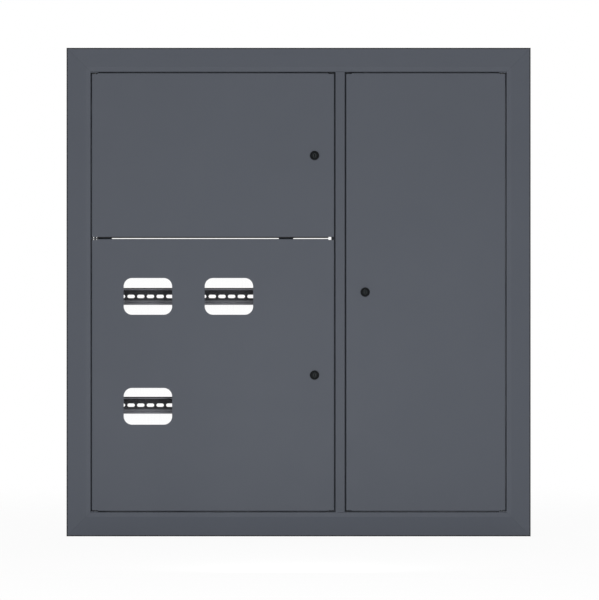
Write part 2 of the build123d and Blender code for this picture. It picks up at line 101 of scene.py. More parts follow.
# %% A socket that can be added and multiplied
class Signal:
    def __init__(self, net, socket):
        self.net = net
        self.socket = socket

    def output(self, name):
        return Signal(self.net, self.socket.node.outputs[name])

    def maths(self, operation, *values):
        sockets = dict(enumerate(values))
        return self.net.node("ShaderNodeMath", {"operation": operation}, sockets)

    def __add__(self, other):
        return self.maths("ADD", self, other)

    def __radd__(self, other):
        return self.maths("ADD", other, self)

    def __sub__(self, other):
        return self.maths("SUBTRACT", self, other)

    def __rsub__(self, other):
        return self.maths("SUBTRACT", other, self)

    def __mul__(self, other):
        return self.maths("MULTIPLY", self, other)

    def __rmul__(self, other):
        return self.maths("MULTIPLY", other, self)

    def __abs__(self):
        return self.maths("ABSOLUTE", self)

    def root(self):
        return self.maths("SQRT", self)

    def least(self, other):
        return self.maths("MINIMUM", self, other)

    def most(self, other):
        return self.maths("MAXIMUM", self, other)

    def step(self, low, high):
        """0 below low, 1 above high and smooth between, or the other way round."""
        sockets = {"Value": self, "From Min": low, "From Max": high}
        return self.net.node("ShaderNodeMapRange", {"interpolation_type": "SMOOTHSTEP"}, sockets)


# %% A net of nodes
class Net:
    def __init__(self, tree):
        self.tree = tree
        tree.nodes.clear()

    def node(self, kind, settings, sockets, output=0):
        made = self.tree.nodes.new(kind)
        for name, value in settings.items():
            setattr(made, name, value)
        for name, value in sockets.items():
            if isinstance(value, Signal):
                self.tree.links.new(value.socket, made.inputs[name])
            else:
                made.inputs[name].default_value = value
        return Signal(self, made.outputs[output])

    def close(self, shader, kind="ShaderNodeOutputMaterial"):
        """The last node, which takes the finished shader."""
        out = self.tree.nodes.new(kind)
        self.tree.links.new(shader.socket, out.inputs["Surface"])

    def place(self):
        """Where a point is in the board's own frame, in metres."""
        return self.node("ShaderNodeTexCoord", {}, {}, "Object")

    def direction(self):
        """Which way the surface faces, in the board's own frame."""
        return self.node("ShaderNodeTexCoord", {}, {}, "Normal")

    def axes(self, vector):
        x = self.node("ShaderNodeSeparateXYZ", {}, {0: vector})
        return x, x.output("Y"), x.output("Z")

    def stretched(self, scale):
        """The place, stretched along the axes whose scale is small."""
        return self.node("ShaderNodeMapping", {}, {"Vector": self.place(), "Scale": scale})

    def noise(self, scale, detail=2.0, vector=None):
        sockets = {"Vector": vector or self.place(), "Scale": scale, "Detail": detail}
        return self.node("ShaderNodeTexNoise", {}, sockets)

    def mix(self, factor, first, second):
        """Colours are mixed here, because a Math node would turn them grey."""
        sockets = {0: factor, 6: first, 7: second}
        return self.node("ShaderNodeMix", {"data_type": "RGBA"}, sockets, 2)

    def bump(self, height, distance, strength=1.0):
        sockets = {"Height": height, "Distance": distance, "Strength": strength}
        return self.node("ShaderNodeBump", {}, sockets)


def shade(colour, factor):
    """A colour made lighter or darker, with the fourth value that sockets want."""
    return (*[min(c * factor, 1.0) for c in colour], 1.0)


# %% A material with one main shader
def finish(name, build):
    """Makes a material: build fills a net and returns what goes into the main shader."""
    material = bpy.data.materials.new(name)
    material.use_nodes = True
    net = Net(material.node_tree)
    net.close(net.node("ShaderNodeBsdfPrincipled", {}, build(net)))
    return material


# %% [markdown]
# # The studio
# The photograph has a plain white ground. The world is white only to the camera and to
# what shines or lets light through, and a mid grey to everything else, so that a colour
# comes out about as it is written.

# %% World
grey_level = 0.46
world = bpy.data.worlds.new("studio")
bpy.context.scene.world = world
world.use_nodes = True
net = Net(world.node_tree)
rays = net.node("ShaderNodeLightPath", {}, {}, "Is Camera Ray")
white = rays.most(rays.output("Is Transmission Ray"))
strength = grey_level + (1 - grey_level) * white.most(rays.output("Is Glossy Ray"))
sky = net.node("ShaderNodeBackground", {}, {"Color": (1, 1, 1, 1), "Strength": strength})
net.close(sky, "ShaderNodeOutputWorld")
bpy.context.scene.view_settings.view_transform = "Standard"
print("world grey", grey_level)

# %% [markdown]
# # Lamps
# A board is flat, so two big soft lamps in front, one on each side, light it evenly. One
# above lights the floor before it, and a small one near the floor lifts the slope at the
# foot of the surround. Three more stand behind and light the open back for other views.

# %% Soft lamps
lamps = {
    "key_lamp": {"place": (-1.3, -4.8, 0.2), "size": 2.0, "watts": 23.2},
    "fill_lamp": {"place": (1.4, -4.8, 0.1), "size": 2.0, "watts": 21.2},
    "overhead_lamp": {"place": (0.0, -2.4, 1.3), "size": 2.4, "watts": 14, "target": (0.0, -2.4, 0.0)},
    "low_lamp": {"place": (0.0, -1.2, -0.36), "size": 0.24, "watts": 1.5, "target": (0.0, 0.0, -0.4)},
    "left_lamp": {"place": (-4.4, 2.2, 1.2), "size": 2.0, "watts": 34},
    "right_lamp": {"place": (4.4, 2.2, 1.2), "size": 2.0, "watts": 28},
    "back_lamp": {"place": (0.8, 4.0, 2.6), "size": 2.4, "watts": 36},
}


def lamp(name, place, size, watts, target=(0, 0, 0)):
    """A square soft lamp that faces its target, which is mostly the middle of the board."""
    light = bpy.data.lights.new(name, "AREA")
    light.size = size
    light.energy = watts
    holder = bpy.data.objects.new(name, light)
    bpy.context.scene.collection.objects.link(holder)
    holder.location = place
    aim = Vector(target) - Vector(place)
    holder.rotation_euler = aim.to_track_quat("-Z", "Y").to_euler()
    holder.visible_camera = False


for name, settings in lamps.items():
    lamp(name, **settings)
print("lamps", len(lamps))

# %% [markdown]
# # The floor
# The floor is a pale disc under the board. To the camera most of it glows white, so that
# only a soft shadow is left near the board, and its rim fades out into the white world.

# %% Floor
floor_radius = 3.0
fade_start = 0.9
fade_end = 0.95 * floor_radius
glow_share = 0.93
paper_colour = (0.86, 0.86, 0.86, 1)
bpy.ops.object.select_all(action="DESELECT")
bpy.ops.mesh.primitive_circle_add(
    vertices=96, radius=floor_radius, fill_type="NGON", location=(0, 0, cad_low.z)
)
floor = bpy.context.object
floor.name = "floor"
bpy.ops.object.transform_apply(location=True, rotation=True, scale=True)
material = bpy.data.materials.new("pale_floor")
material.use_nodes = True
net = Net(material.node_tree)
seen = net.node("ShaderNodeLightPath", {}, {}, "Is Camera Ray")
seen = seen.most(seen.output("Is Glossy Ray"))
x, y, z = net.axes(net.place())
far = (x * x + y * y).root()
paper = net.node("ShaderNodeBsdfDiffuse", {}, {"Color": paper_colour})
glow = net.node("ShaderNodeEmission", {}, {"Color": (1, 1, 1, 1), "Strength": 1.0})
clear = net.node("ShaderNodeBsdfTransparent", {}, {})
lit = net.node("ShaderNodeMixShader", {}, {0: glow_share * seen, 1: paper, 2: glow})
faded = net.node("ShaderNodeMixShader", {}, {0: far.step(fade_start, fade_end), 1: lit, 2: clear})
net.close(faded)
floor.data.materials.append(material)
floor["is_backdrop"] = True
print("floor", 2 * floor_radius, "m across")

# %% [markdown]
# # Powder coat
# The sheet metal is covered with a matt grey-blue powder coat. Real powder melts into a
# skin like the peel of an orange, a millimetre from bump to bump, with a finer grain on
# top, and its shine changes a little from place to place. Outer edges take the knocks, so
# they are slightly lighter and smoother. Faces turned away from the front, the folds in the
# gaps, are rougher and carry painted shade. A band of painted shade runs along the outer
# rim of the surround and along the bottom rim of the upper door. The mitred corners of
# the surround carry a fine ground seam. The pattern is made of noise on the board's own
# coordinates: it needs no unwrapping, and neighbouring pieces never repeat each other.

# %% The coat of one node
paint_colour = (0.088, 0.098, 0.120)
peel_scale = 780.0
grain_scale = 3600.0
cloud_scale = 5.0
patch_scale = 23.0
chip_scale = 160.0
cloud_tones = (0.975, 1.025)
worn_tone = 1.35
worn_share = 0.5
worn_width = 2.2 * MM
# Painted shade on faces turned away from the front.
fold_shade_tone = 0.2
# A band of painted shade along a few rims: its tone, where it is full and where it fades out.
rim_shade_tone = 0.06
rim_shade_width = 2.0 * MM
rim_shade_fade = 2.5 * MM
seam_tone = 0.5
seam_width = 0.2 * MM
seam_fade = 0.9 * MM
seam_depth = 3.0
peel_height = 0.05 * MM


def powder_coat(name, tone=1.0, outline=None, fold_shade=0.0, matt=0.0, shaded_rim="", mitres=False):
    """outline is the low and high corner of a sheet with worn edges. The shaded rim is "all" of
    them or only the "bottom" one, and it gets a band of painted shade. The fold shade is how
    much painted shade and roughness the folds get, and matt takes the shine off."""

    def build(net):
        x, y, z = net.axes(net.place())
        peel = net.noise(peel_scale, 2.0)
        grain = net.noise(grain_scale, 1.0)
        cloud = net.noise(cloud_scale, 3.0)
        patch = net.noise(patch_scale, 2.0)
        height = peel + 0.35 * grain
        dark, light = (shade(paint_colour, tone * share) for share in cloud_tones)
        colour = net.mix(cloud, dark, light)
        rough = 0.50 + 0.08 * patch - 0.06 * cloud + matt
        if outline:
            low, high = outline
            border = (x - low.x).least(high.x - x).least((z - low.z).least(high.z - z))
            chips = net.noise(chip_scale, 4.0).step(0.35, 0.75)
            edge = border.step(worn_width, 0.0) * (0.4 + 0.6 * chips)
            colour = net.mix(worn_share * edge, colour, shade(paint_colour, tone * worn_tone))
            rough = rough - 0.10 * edge
            if shaded_rim == "bottom":
                border = z - low.z
        # Painted shade: a dark band along the chosen rims.
        if shaded_rim:
            colour = net.mix(border.step(rim_shade_fade, rim_shade_width), colour, shade(paint_colour, rim_shade_tone))
        # Painted shade on faces turned away from the front, the folds in the gaps. They are also
        # rougher.
        if fold_shade:
            facing = net.axes(net.direction())[1]
            fold_shade_mask = abs(facing).step(0.9, 0.35)
            colour = net.mix(fold_shade * fold_shade_mask, colour, shade(paint_colour, fold_shade_tone))
            rough = rough + 0.45 * fold_shade_mask
        if mitres:
            line = abs(abs(x) - abs(z) + (cad_high.z - cad_high.x))
            seam = line.step(seam_fade, seam_width)
            colour = net.mix(0.35 * seam, colour, shade(paint_colour, tone * seam_tone))
            height = height - seam_depth * seam
        return {
            "Base Color": colour,
            "Roughness": rough,
            "Specular IOR Level": 0.25 - 0.4 * matt,
            "Normal": net.bump(height, peel_height, 0.5),
        }

    return finish(name, build)


# %% Coat the sheet metal
def coat_node(node, material):
    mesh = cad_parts[node].data
    mesh.materials.clear()
    mesh.materials.append(material)


front_sheets = ["surround", "mullion", "upper_door_panel", "lower_door_panel", "right_door_panel"]
casing_sheets = [f"casing_{side}_wall" for side in ("left", "right", "top", "bottom")]
casing_sheets.append("partition_wall")
# The outer rim of the surround and the bottom rim of the upper door get a band of painted shade.
shaded_rims = {"surround": "all", "upper_door_panel": "bottom"}
# Painted light and shade: the surround is a little lighter and the mullion a little darker than the
# same paint.
shading_tones = {"surround": 1.03, "mullion": 0.95}
for node in front_sheets + casing_sheets:
    front = node in front_sheets
    coat = powder_coat(
        f"{node}_coat",
        tone=shading_tones.get(node, 1.0),
        outline=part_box(node),
        fold_shade=0.5 if front else 0.0,
        matt=0.0 if front else 0.4,
        shaded_rim=shaded_rims.get(node, ""),
        mitres=node == "surround",
    )
    coat_node(node, coat)
print("coated", len(front_sheets + casing_sheets), "large sheets")

# %% [markdown]
# # Small painted sheets
# The uprights, the crossbar, the stiffeners, the window guides and the hinge parts hang
# in the same paint line, but their edges hold less powder. One coat serves them all.

# %% Coat the small sheets
small_endings = ("upright", "crossbar", "stiffener", "hinge_plates", "bracket", "hinge_eyes")
small_coat = powder_coat("small_sheet_coat", tone=0.96)
small_sheets = [
    node
    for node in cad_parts
    if node.endswith(small_endings) or node.startswith("window_guides")
]
for node in small_sheets:
    coat_node(node, small_coat)
print("small sheets", sorted(small_sheets))

# %% [markdown]
# # Zinc plate
# Screws, nuts, cams and the strips on the right are zinc plated. Fresh zinc is a bluish
# metal with pale clouds, a faint yellow passivation in places, and rolling marks along
# the strip. Small cells from a Voronoi texture give the clouds. The hinge pins are bare
# blackened steel: the same metal, much darker.

# %% Zinc
zinc_blue = (0.60, 0.63, 0.66)
zinc_yellow = (0.66, 0.62, 0.50)
zinc_grey = (0.42, 0.44, 0.46)


def zinc(name, tone=1.0, roughness=0.34, grain=(1.0, 1.0, 1.0)):
    """grain has a small scale along the axis that the metal was rolled in."""

    def build(net):
        sockets = {"Vector": net.place(), "Scale": 260.0}
        cells = net.node("ShaderNodeTexVoronoi", {"feature": "SMOOTH_F1"}, sockets)
        cloud = net.noise(40.0, 3.0)
        lines = net.noise(900.0, 2.0, net.stretched(grain))
        yellowed = 0.45 * cloud.step(0.45, 0.75)
        colour = net.mix(yellowed, shade(zinc_blue, tone), shade(zinc_yellow, tone))
        colour = net.mix(0.30 * cells, colour, shade(zinc_grey, tone))
        return {
            "Base Color": colour,
            "Metallic": 1.0,
            "Roughness": roughness + 0.12 * cells + 0.10 * lines - 0.05,
            "Normal": net.bump(lines + 0.5 * cells, 0.02 * MM, 0.4),
        }

    return finish(name, build)


along_strip = (0.04, 1.0, 1.0)
strip_zinc = zinc("rolled_zinc", 0.92, 0.38, along_strip)
part_zinc = zinc("plated_zinc")
strips = [f"low_current_strip_{number}" for number in (1, 2, 3)]
for node in strips:
    coat_node(node, strip_zinc)
coat_node("hinge_pins", zinc("blackened_steel", 0.10, 0.42))
print("zinc on", strips)

# %% [markdown]
# # Window panes
# The panes are clear polycarbonate, two millimetres thick, slid between folded guides.
# Real clear sheet is never quite invisible: it has a shine, and a thin haze of dust and
# fine scratches. The haze goes into the alpha, so the rails show through as they do on
# the real board.


# %% Clear sheet
def clear_sheet(net):
    haze = net.noise(30.0, 4.0)
    scratch = net.noise(600.0, 2.0, net.stretched((1.0, 1.0, 0.03))).step(0.62, 0.75)
    return {
        "Base Color": net.mix(haze, (0.30, 0.32, 0.34, 1.0), (0.40, 0.41, 0.42, 1.0)),
        "Roughness": 0.06 + 0.06 * haze,
        "Alpha": 0.004 + 0.012 * haze + 0.03 * scratch,
        "Normal": net.bump(haze, 0.02 * MM, 0.2),
    }


pane_material = finish("clear_sheet", clear_sheet)
panes = [f"window_pane_{number}" for number in (1, 2, 3)]
for node in panes:
    coat_node(node, pane_material)
print("clear sheet on", panes)

# %% [markdown]
# # Working by hand
# New pieces are modelled with the tools a hand would use. An operator works on whatever
# is selected, so the first helper selects one object alone, and the second goes into
# edit mode and selects only what passes a test on its place and its direction. Turning,
# stretching and bevelling a piece are small helpers on top of these two.


# %% Selecting
def only(piece):
    bpy.ops.object.select_all(action="DESELECT")
    piece.select_set(True)
    bpy.context.view_layer.objects.active = piece


def pick(piece, kind, test):
    """Selects the VERT, EDGE or FACE items that pass test(place, direction)."""
    only(piece)
    bpy.ops.object.mode_set(mode="EDIT")
    bpy.ops.mesh.select_mode(type=kind)
    bpy.ops.mesh.select_all(action="DESELECT")
    mesh = bmesh.from_edit_mesh(piece.data)
    items = {"VERT": mesh.verts, "EDGE": mesh.edges, "FACE": mesh.faces}[kind]
    for item in items:
        if kind == "VERT":
            found = test(item.co, item.normal)
        elif kind == "EDGE":
            first, last = (v.co for v in item.verts)
            found = test((first + last) / 2, (last - first).normalized())
        else:
            found = test(item.calc_center_median(), item.normal)
        item.select_set(found)
    mesh.select_flush_mode()
    bmesh.update_edit_mesh(piece.data)


def leave():
    bpy.ops.object.mode_set(mode="OBJECT")


# %% Shaping a whole piece
def everything(place, direction):
    return True


def turn(piece, degrees, axis):
    """Turns the piece round the origin."""
    pick(piece, "VERT", everything)
    angle = math.radians(degrees)
    bpy.ops.transform.rotate(value=angle, orient_axis=axis, center_override=(0, 0, 0))
    leave()


def stretch(piece, test, scale, centre=(0, 0, 0)):
    """Scales the corners that pass the test, away from or towards the centre."""
    pick(piece, "VERT", test)
    bpy.ops.transform.resize(value=scale, center_override=centre)
    leave()


def bevel(piece, test, width, segments):
    """Bevels the edges that pass the test."""
    pick(piece, "EDGE", test)
    bpy.ops.mesh.bevel(offset=width, segments=segments, affect="EDGES")
    leave()


def shift(piece, move):
    piece.data.transform(Matrix.Translation(move))
    return piece


# %% Tests for the rims of discs and bars along Y
def is_rim(place, direction):
    return abs(direction.y) < 0.1


def rim_before(y):
    return lambda place, direction: is_rim(place, direction) and place.y < y


def rim_behind(y):
    return lambda place, direction: is_rim(place, direction) and place.y > y


# %% Starting a piece
facing = (math.radians(90), 0, 0)


def named(name):
    """The primitive just added gets its name, and its place goes into its mesh."""
    piece = bpy.context.object
    piece.name = name
    piece.data.name = name
    bpy.ops.object.transform_apply(location=True, rotation=True, scale=True)
    return piece


def cylinder(name, sides, radius, depth, middle=(0, 0, 0)):
    """A cylinder along Y, which is the way that screws and locks point."""
    bpy.ops.object.select_all(action="DESELECT")
    bpy.ops.mesh.primitive_cylinder_add(
        vertices=sides, radius=radius, depth=depth, location=middle, rotation=facing
    )
    return named(name)


def block(name, size, middle):
    bpy.ops.object.select_all(action="DESELECT")
    bpy.ops.mesh.primitive_cube_add(size=1, location=middle)
    bpy.context.object.scale = size
    return named(name)


# %% Joining and finishing a piece
def modify(piece, kind, **settings):
    only(piece)
    modifier = piece.modifiers.new(kind.lower(), kind)
    for name, value in settings.items():
        setattr(modifier, name, value)
    bpy.ops.object.modifier_apply(modifier=modifier.name)
    return piece


def cut(piece, cutter, operation="DIFFERENCE"):
    modify(piece, "BOOLEAN", operation=operation, object=cutter, solver="EXACT")
    bpy.data.objects.remove(cutter)
    return piece


def copy_of(piece, name, move):
    """A copy with its own mesh, moved in the mesh."""
    twin = piece.copy()
    twin.data = piece.data.copy()
    twin.name = name
    twin.data.name = name
    bpy.context.scene.collection.objects.link(twin)
    return shift(twin, move)


def joined(pieces, name):
    bpy.ops.object.select_all(action="DESELECT")
    for piece in pieces:
        piece.select_set(True)
    bpy.context.view_layer.objects.active = pieces[0]
    bpy.ops.object.join()
    pieces[0].name = name
    return pieces[0]


def fit(piece, body, node, material, angle=35):
    """The last step of a piece: clean normals, a finish, a body, and the node it stands for is hidden.
    """
    only(piece)
    bpy.ops.object.mode_set(mode="EDIT")
    bpy.ops.mesh.select_all(action="SELECT")
    bpy.ops.mesh.remove_doubles(threshold=0.002 * MM)
    bpy.ops.mesh.normals_make_consistent(inside=False)
    leave()
    bpy.ops.object.shade_smooth_by_angle(angle=math.radians(angle))
    piece.data.materials.clear()
    piece.data.materials.append(material)
    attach(piece, body)
    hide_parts(node)
    return piece


# %% [markdown]
# # Round-ended slots
# The slots in the rails are punched with a round-ended tool. A cylinder becomes that
# tool: its halves are pulled apart, and the faces between them stretch into flats. The
# cylinder is turned by half a step first, so that no corner lies on the parting line.


# %% A slot punch
def punch(name, centre, width, height, depth):
    sides = 24
    tool = cylinder(name, sides, height / 2, depth)
    turn(tool, 180 / sides, "Y")
    for side in (-1, 1):
        pick(tool, "VERT", lambda place, direction: place.x * side > 0)
        bpy.ops.transform.translate(value=(side * (width - height) / 2, 0, 0))
        leave()
    return shift(tool, centre)


# %% [markdown]
# # Top-hat rails
# The rail is rolled from one millimetre strip: a web with slots, two low walls and two
# lips. It could be extruded from a section, but folding it shows how it is really made.
# The web starts as a flat plane, its long edges are extruded into walls and lips, the
# folds are bevelled, and Solidify gives the strip its thickness. Then the slots are cut.

# %% Rail sizes
recess_height = 25 * MM
rail_height = 35 * MM
strip_thickness = 1 * MM
fold_radius = 1.2 * MM
slot_width = 15.4 * MM
slot_height = 7.1 * MM
slot_pitch = 20 * MM
slot_end = 11.5 * MM
punch_depth = 8 * MM
near = 0.1 * MM


# %% Fold a rail
def folded_rail(name, low, high):
    web_y = high.y - strip_thickness
    level = (low.z + high.z) / 2
    middle = ((low.x + high.x) / 2, web_y, level)
    bpy.ops.object.select_all(action="DESELECT")
    bpy.ops.mesh.primitive_plane_add(size=1, location=middle, rotation=facing)
    bpy.context.object.scale = (high.x - low.x, recess_height, 1)
    rail = named(name)
    wall = (0, low.y - web_y, 0)
    for side in (-1, 1):
        edge = level + side * recess_height / 2
        lip = (0, 0, side * (rail_height - recess_height) / 2)
        pick(rail, "EDGE", lambda place, direction: abs(place.z - edge) < near)
        bpy.ops.mesh.extrude_region_move(TRANSFORM_OT_translate={"value": wall})
        bpy.ops.mesh.extrude_region_move(TRANSFORM_OT_translate={"value": lip})
        leave()

    def is_fold(place, direction):
        from_fold = abs(abs(place.z - level) - recess_height / 2)
        return abs(direction.x) > 0.9 and from_fold < near

    pick(rail, "EDGE", is_fold)
    bpy.ops.mesh.bevel(offset=fold_radius, segments=4, affect="EDGES")
    bpy.ops.mesh.select_all(action="SELECT")
    bpy.ops.mesh.normals_make_consistent(inside=False)
    leave()
    front = sum(1 for face in rail.data.polygons if face.normal.y < -0.9)
    away = 1.0 if front == 0 else -1.0
    return modify(rail, "SOLIDIFY", thickness=strip_thickness, offset=away)


# %% Punch its slots
def punch_slots(rail, low, high, phase):
    """Slots at a fixed pitch through the phase, clear of both ends."""
    level = (low.z + high.z) / 2
    slack = 1e-6
    first = math.ceil((low.x + slot_end - phase) / slot_pitch - slack)
    last = math.floor((high.x - slot_end - phase) / slot_pitch + slack)
    centres = [phase + slot_pitch * k for k in range(first, last + 1)]
    place = (centres[0], high.y, level)
    tool = punch("slot_punch", place, slot_width, slot_height, punch_depth)
    tools = [tool] + [
        copy_of(tool, f"slot_punch_{i}", (x - centres[0], 0, 0)) for i, x in enumerate(centres[1:])
    ]
    return cut(rail, joined(tools, "slot_punches")), len(centres)


# %% [markdown]
# # Rail paint
# Through the windows the rails look almost black. The paint is the dark satin kind, dipped
# after punching, with fine rolling lines along the rail, and its near-black colour carries
# painted shade from the doors. Two places are lighter: a painted highlight along the fold
# under the upper lip, and painted light on the whole lower lip and the foot of the recess.

# %% Dark satin paint
# The two dark colours carry painted shade from the doors; the third is painted light for the fold and
# the foot.
rail_dark = (0.030, 0.030, 0.036, 1)
rail_light = (0.048, 0.048, 0.056, 1)
rail_painted_light = (0.40, 0.405, 0.45, 1)
upper_fold = 14.1 * MM
fold_band = (1.4 * MM, 0.9 * MM)
foot_band = (-6.0 * MM, -11.0 * MM)


def rail_paint(name, level):
    """level is the height of the middle of the rail."""

    def build(net):
        x, y, z = net.axes(net.place())
        lines = net.noise(1400.0, 2.0, net.stretched((0.02, 1.0, 1.0)))
        cloud = net.noise(18.0, 3.0)
        height = z - level
        # Painted highlight along the fold under the upper lip, and painted light on the lower lip and
        # the foot of the recess.
        fold_highlight = abs(height - upper_fold).step(*fold_band)
        lit_foot = height.step(*foot_band)
        rub_and_light = fold_highlight.most(lit_foot) * (0.75 + 0.25 * net.noise(90.0, 3.0))
        return {
            "Base Color": net.mix(rub_and_light, net.mix(cloud, rail_dark, rail_light), rail_painted_light),
            "Roughness": 0.40 + 0.12 * cloud + 0.06 * lines - 0.06 * rub_and_light,
            "Specular IOR Level": 0.15,
            "Normal": net.bump(lines, 0.02 * MM, 0.35),
        }

    return finish(name, build)


# %% Make the five rails
upper_low, upper_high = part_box("upper_rail_1")
upper_phase = (upper_low.x + upper_high.x) / 2
left_phase = -306.2 * MM
right_phase = -138.4 * MM
rail_phases = {
    "upper_rail_1": upper_phase,
    "upper_rail_2": upper_phase,
    "meter_rail_1": left_phase,
    "meter_rail_2": right_phase,
    "meter_rail_3": left_phase,
}
for node, phase in rail_phases.items():
    low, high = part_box(node)
    rail, count = punch_slots(folded_rail(f"{node}_folded", low, high), low, high, phase)
    fit(rail, "casing", node, rail_paint(f"{node}_paint", (low.z + high.z) / 2))
    print(node, count, "slots", len(rail.data.polygons), "faces")

# %% [markdown]
# # Hexagon heads
# A hexagon nut or screw head isn't a plain six-sided block: it is turned from a bar, so
# its corners are cut off by a cone. The block is cut to what it shares with a disc whose
# rims are bevelled, and that leaves the arcs that every real hexagon has.


# %% A turned hexagon
def hexagon(name, flats, thickness, chamfer, bore=0.0):
    """Hexagon along Y with its back face at the origin and its corners on X."""
    corner = flats / math.sqrt(3)
    middle = (0, -thickness / 2, 0)
    nut = cylinder(name, 6, corner, thickness, middle)
    turn(nut, 30, "Y")
    disc = cylinder("disc", 48, corner, thickness * 1.001, middle)
    bevel(disc, is_rim, chamfer, 1)
    cut(nut, disc, "INTERSECT")
    if bore:
        cut(nut, cylinder("bore", 48, bore, thickness * 2, middle))
    return nut


# %% [markdown]
# # Rail screws
# The rails are held by hexagon screws with a pressed washer. One screw is made, and the
# others are copies. The head and the shank both start a little inside the washer, because
# shapes that share a face don't join cleanly. Where the screws go is read from the
# construction model: the points of its screws are sorted into heaps, and the middle of
# each heap is a screw.


# %% Find where pieces stand
def heaps(node, reach):
    """Middles, seen from the front, of the separate solids of one node."""
    found = []
    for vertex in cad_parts[node].data.vertices:
        point = Vector((vertex.co.x, vertex.co.z))
        for heap in found:
            if (heap[0] - point).length < reach:
                heap.append(point)
                break
        else:
            found.append([point])
    return [
        (
            (min(p.x for p in heap) + max(p.x for p in heap)) / 2,
            (min(p.y for p in heap) + max(p.y for p in heap)) / 2,
        )
        for heap in found
    ]


# %% One screw, then its copies
screw_flats = 8 * MM
head_height = 3 * MM
washer_radius = 5.4 * MM
washer_height = 0.7 * MM
shank_radius = 2.5 * MM
shank_length = 12 * MM
overlap = 0.01 * MM
head_chamfer = 0.5 * MM
washer_round = 0.3 * MM
shank_chamfer = 0.8 * MM
washer_bite = 0.1 * MM
head = hexagon("screw_head", screw_flats, head_height - washer_bite, head_chamfer)
shift(head, (0, -washer_bite, 0))
washer = cylinder("screw_washer", 40, washer_radius, washer_height, (0, -washer_height / 2, 0))
bevel(washer, rim_before(-washer_height / 2), washer_round, 2)
cut(head, washer, "UNION")
shank = cylinder("screw_shank", 24, shank_radius, shank_length, (0, shank_length / 2 - overlap, 0))
bevel(shank, rim_behind(shank_length / 2), shank_chamfer, 1)
cut(head, shank, "UNION")
screw_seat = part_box("rail_screws")[0].y + head_height
places = heaps("rail_screws", screw_flats)
screws = [copy_of(head, f"screw_{i}", (x, screw_seat, z)) for i, (x, z) in enumerate(places)]
bpy.data.objects.remove(head)
fit(joined(screws, "rail_hexagon_screws"), "casing", "rail_screws", part_zinc)
print("screws", len(places))

# %% Earth nut
nut_low, nut_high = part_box("casing_earth_nut")
nut_middle = (nut_low + nut_high) / 2
earth_flats = 13 * MM
earth_height = 6.5 * MM
earth_chamfer = 0.9 * MM
earth_bore = 4.02 * MM
nut = hexagon("earth_hexagon_nut", earth_flats, earth_height, earth_chamfer, earth_bore)
turn(nut, 90, "X")
low_z = min(v.co.z for v in nut.data.vertices)
shift(nut, (nut_middle.x, nut_middle.y, nut_low.z - low_z))
fit(nut, "casing", "casing_earth_nut", part_zinc)
print("earth nut", len(nut.data.polygons), "faces")

# %% [markdown]
# # Locks
# Each lock is a black cam lock: a die-cast housing with a low round head, a plug with a
# keyway in it, a big nut behind the door, and a flat cam that hangs down when the lock
# is open. The housing is turned work, so its half section is drawn and spun round, as on
# a lathe. The flats that keep it from turning are pressed in afterwards.

# %% Lock sizes
head_front = -14 * MM
door_front = -12 * MM
door_inside = -10.8 * MM
barrel_end = 8.1 * MM
cam_front = 8.6 * MM
lock_places = {}
for name in ("upper", "lower", "right"):
    low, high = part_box(f"{name}_lock_plug")
    lock_places[name] = ((low.x + high.x) / 2, (low.z + high.z) / 2)
print("locks at", lock_places)


# %% Spin a half section
def turned(name, section, steps=64):
    """section is a closed row of (radius, y) points, spun round Y."""
    bpy.ops.object.select_all(action="DESELECT")
    bpy.ops.mesh.primitive_plane_add(size=1)
    piece = named(name)
    only(piece)
    bpy.ops.object.mode_set(mode="EDIT")
    bpy.ops.mesh.select_all(action="SELECT")
    bpy.ops.mesh.delete(type="VERT")
    mesh = bmesh.from_edit_mesh(piece.data)
    corners = [mesh.verts.new((radius, y, 0)) for radius, y in section]
    for first, last in zip(corners, corners[1:] + corners[:1]):
        mesh.edges.new((first, last))
    bmesh.update_edit_mesh(piece.data)
    bpy.ops.mesh.select_all(action="SELECT")
    bpy.ops.mesh.spin(steps=steps, angle=math.tau, center=(0, 0, 0), axis=(0, 1, 0))
    bpy.ops.mesh.select_all(action="SELECT")
    bpy.ops.mesh.remove_doubles(threshold=0.005 * MM)
    bpy.ops.mesh.normals_make_consistent(inside=False)
    leave()
    return piece


# %% Housing
bore = 5.8 * MM
head_radius = 9.5 * MM
barrel_radius = 8.0 * MM
thread_root = 7.5 * MM
thread_pitch = 1.5 * MM
thread_start = door_front + 2.5 * MM
flat_x = 7 * MM
section = [
    (bore, head_front + 0.7 * MM),
    (6.4 * MM, head_front),
    (8.5 * MM, head_front),
    (9.2 * MM, head_front + 0.25 * MM),
    (head_radius, head_front + 0.8 * MM),
    (head_radius, door_front),
    (barrel_radius, door_front),
]
threads = int((barrel_end - thread_start) / thread_pitch)
for thread in range(threads):
    y = thread_start + thread * thread_pitch
    section += [(barrel_radius, y), (thread_root, y + thread_pitch / 2)]
section.append((barrel_radius, thread_start + threads * thread_pitch))
section += [(7.6 * MM, barrel_end), (bore, barrel_end)]
housing = turned("lock_housing", section)
for side in (-1, 1):
    stretch(
        housing,
        lambda place, direction: place.x * side > flat_x and place.y > door_front + overlap,
        (0, 1, 1),
        (side * flat_x, 0, 0),
    )
print("housing", len(housing.data.polygons), "faces")

# %% [markdown]
# # Plug
# The plug fills the bore. In the photograph the middle of the lock is a little lighter,
# taller than it is wide: that is the raised guide round the keyway, rubbed by the key.
# It is an oval disc on the face of the plug, and the keyway is cut through both.

